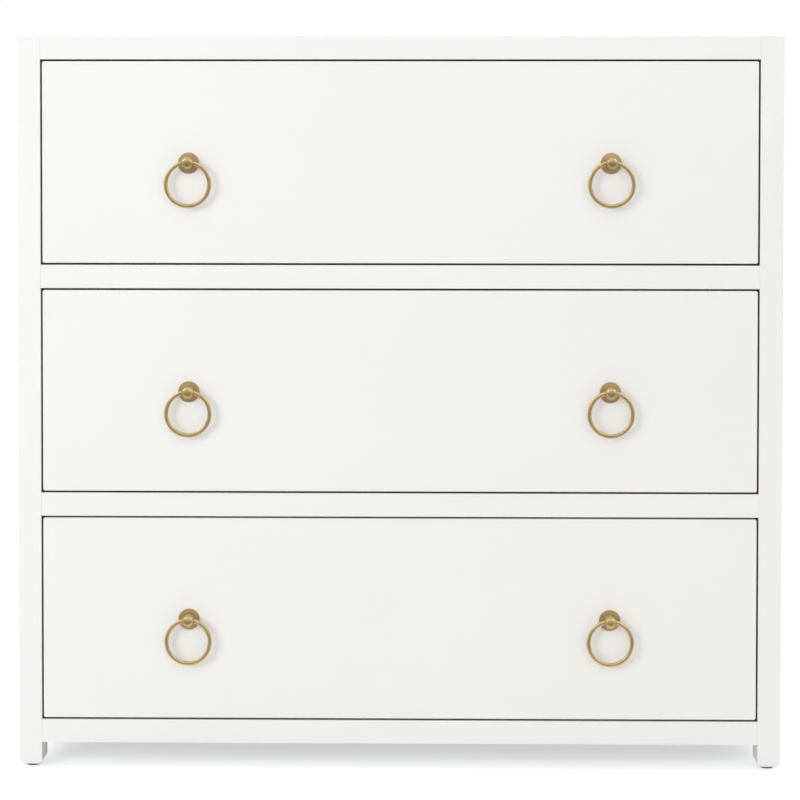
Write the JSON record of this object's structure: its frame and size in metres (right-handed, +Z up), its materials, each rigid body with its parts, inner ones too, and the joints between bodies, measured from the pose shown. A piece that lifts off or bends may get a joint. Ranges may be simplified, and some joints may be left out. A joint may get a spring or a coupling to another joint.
{
  "type": "chest of drawers",
  "caption": "Square-legged campaign chest in off-white painted wood: full-width drawers flush between rails and corner posts, pulled open by round brass rings.",
  "frame": {"origin": "on the floor plane, at the centre of the overall footprint of the closed chest, ring pulls included", "axes": "+X to the viewer's right along the width, +Y from the drawer fronts to the back, +Z up; the drawers open along -Y"},
  "size_m": [0.914, 0.4784, 0.8785],
  "materials": {
    "white_lacquer": "satin off-white lacquer on wood",
    "sealed_wood": "clear sealed pale hardwood",
    "back_board": "thin matt off-white paint on board",
    "antique_brass": "antique satin brass",
    "zinc_steel": "bright zinc plate",
    "glide_plastic": "matt dark brown"
  },
  "bodies": {
    "carcass": {"front_post_left": "white_lacquer", "front_post_right": "white_lacquer", "rear_post_left": "white_lacquer", "rear_post_right": "white_lacquer", "bottom_front_rail": "white_lacquer", "lower_divider_rail": "white_lacquer", "upper_divider_rail": "white_lacquer", "top_front_rail": "white_lacquer", "bottom_rear_rail": "white_lacquer", "top_rear_rail": "white_lacquer", "bottom_side_rails": "white_lacquer", "top_side_rails": "white_lacquer", "side_panel_left": "white_lacquer", "side_panel_right": "white_lacquer", "top_panel": "white_lacquer", "back_panel": "back_board", "slide_bearers": "sealed_wood", "slide_channels": "zinc_steel", "floor_glides": "glide_plastic", "back_panel_screws": "zinc_steel", "slide_channel_screws": "zinc_steel"},
    "lower_drawer": {"lower_drawer_front": "white_lacquer", "lower_drawer_side_left": "sealed_wood", "lower_drawer_side_right": "sealed_wood", "lower_drawer_back": "sealed_wood", "lower_drawer_base": "sealed_wood", "lower_drawer_rosettes": "antique_brass", "lower_drawer_knobs": "antique_brass", "lower_drawer_pull_bolts": "zinc_steel", "lower_drawer_runners": "zinc_steel", "lower_drawer_runner_screws": "zinc_steel"},
    "lower_ball_cages": {"lower_drawer_ball_cages": "zinc_steel"},
    "lower_ring_left": {"lower_drawer_ring_left": "antique_brass"},
    "lower_ring_right": {"lower_drawer_ring_right": "antique_brass"},
    "middle_drawer": {"middle_drawer_front": "white_lacquer", "middle_drawer_side_left": "sealed_wood", "middle_drawer_side_right": "sealed_wood", "middle_drawer_back": "sealed_wood", "middle_drawer_base": "sealed_wood", "middle_drawer_rosettes": "antique_brass", "middle_drawer_knobs": "antique_brass", "middle_drawer_pull_bolts": "zinc_steel", "middle_drawer_runners": "zinc_steel", "middle_drawer_runner_screws": "zinc_steel"},
    "middle_ball_cages": {"middle_drawer_ball_cages": "zinc_steel"},
    "middle_ring_left": {"middle_drawer_ring_left": "antique_brass"},
    "middle_ring_right": {"middle_drawer_ring_right": "antique_brass"},
    "upper_drawer": {"upper_drawer_front": "white_lacquer", "upper_drawer_side_left": "sealed_wood", "upper_drawer_side_right": "sealed_wood", "upper_drawer_back": "sealed_wood", "upper_drawer_base": "sealed_wood", "upper_drawer_rosettes": "antique_brass", "upper_drawer_knobs": "antique_brass", "upper_drawer_pull_bolts": "zinc_steel", "upper_drawer_runners": "zinc_steel", "upper_drawer_runner_screws": "zinc_steel"},
    "upper_ball_cages": {"upper_drawer_ball_cages": "zinc_steel"},
    "upper_ring_left": {"upper_drawer_ring_left": "antique_brass"},
    "upper_ring_right": {"upper_drawer_ring_right": "antique_brass"}
  },
  "joints": [
    {"name": "lower_drawer_slide", "type": "slide", "parent": "carcass", "child": "lower_drawer", "axis": [0, -1, 0], "range_m": [0, 0.29]},
    {"name": "lower_cage_roll", "type": "slide", "parent": "carcass", "child": "lower_ball_cages", "axis": [0, -1, 0], "range_m": [0, 0.145]},
    {"name": "lower_ring_left_swing", "type": "hinge", "parent": "lower_drawer", "child": "lower_ring_left", "pos_m": [-0.252, -0.22915, 0.17997], "axis": [-1, 0, 0], "range_deg": [-9, 165]},
    {"name": "lower_ring_right_swing", "type": "hinge", "parent": "lower_drawer", "child": "lower_ring_right", "pos_m": [0.252, -0.22915, 0.17997], "axis": [-1, 0, 0], "range_deg": [-9, 165]},
    {"name": "middle_drawer_slide", "type": "slide", "parent": "carcass", "child": "middle_drawer", "axis": [0, -1, 0], "range_m": [0, 0.29]},
    {"name": "middle_cage_roll", "type": "slide", "parent": "carcass", "child": "middle_ball_cages", "axis": [0, -1, 0], "range_m": [0, 0.145]},
    {"name": "middle_ring_left_swing", "type": "hinge", "parent": "middle_drawer", "child": "middle_ring_left", "pos_m": [-0.252, -0.22915, 0.4533], "axis": [-1, 0, 0], "range_deg": [-9, 165]},
    {"name": "middle_ring_right_swing", "type": "hinge", "parent": "middle_drawer", "child": "middle_ring_right", "pos_m": [0.252, -0.22915, 0.4533], "axis": [-1, 0, 0], "range_deg": [-9, 165]},
    {"name": "upper_drawer_slide", "type": "slide", "parent": "carcass", "child": "upper_drawer", "axis": [0, -1, 0], "range_m": [0, 0.29]},
    {"name": "upper_cage_roll", "type": "slide", "parent": "carcass", "child": "upper_ball_cages", "axis": [0, -1, 0], "range_m": [0, 0.145]},
    {"name": "upper_ring_left_swing", "type": "hinge", "parent": "upper_drawer", "child": "upper_ring_left", "pos_m": [-0.252, -0.22915, 0.72663], "axis": [-1, 0, 0], "range_deg": [-9, 165]},
    {"name": "upper_ring_right_swing", "type": "hinge", "parent": "upper_drawer", "child": "upper_ring_right", "pos_m": [0.252, -0.22915, 0.72663], "axis": [-1, 0, 0], "range_deg": [-9, 165]}
  ],
  "couplings": [
    {"joint": "lower_cage_roll", "follows": "lower_drawer_slide", "ratio": 0.5},
    {"joint": "middle_cage_roll", "follows": "middle_drawer_slide", "ratio": 0.5},
    {"joint": "upper_cage_roll", "follows": "upper_drawer_slide", "ratio": 0.5}
  ]
}
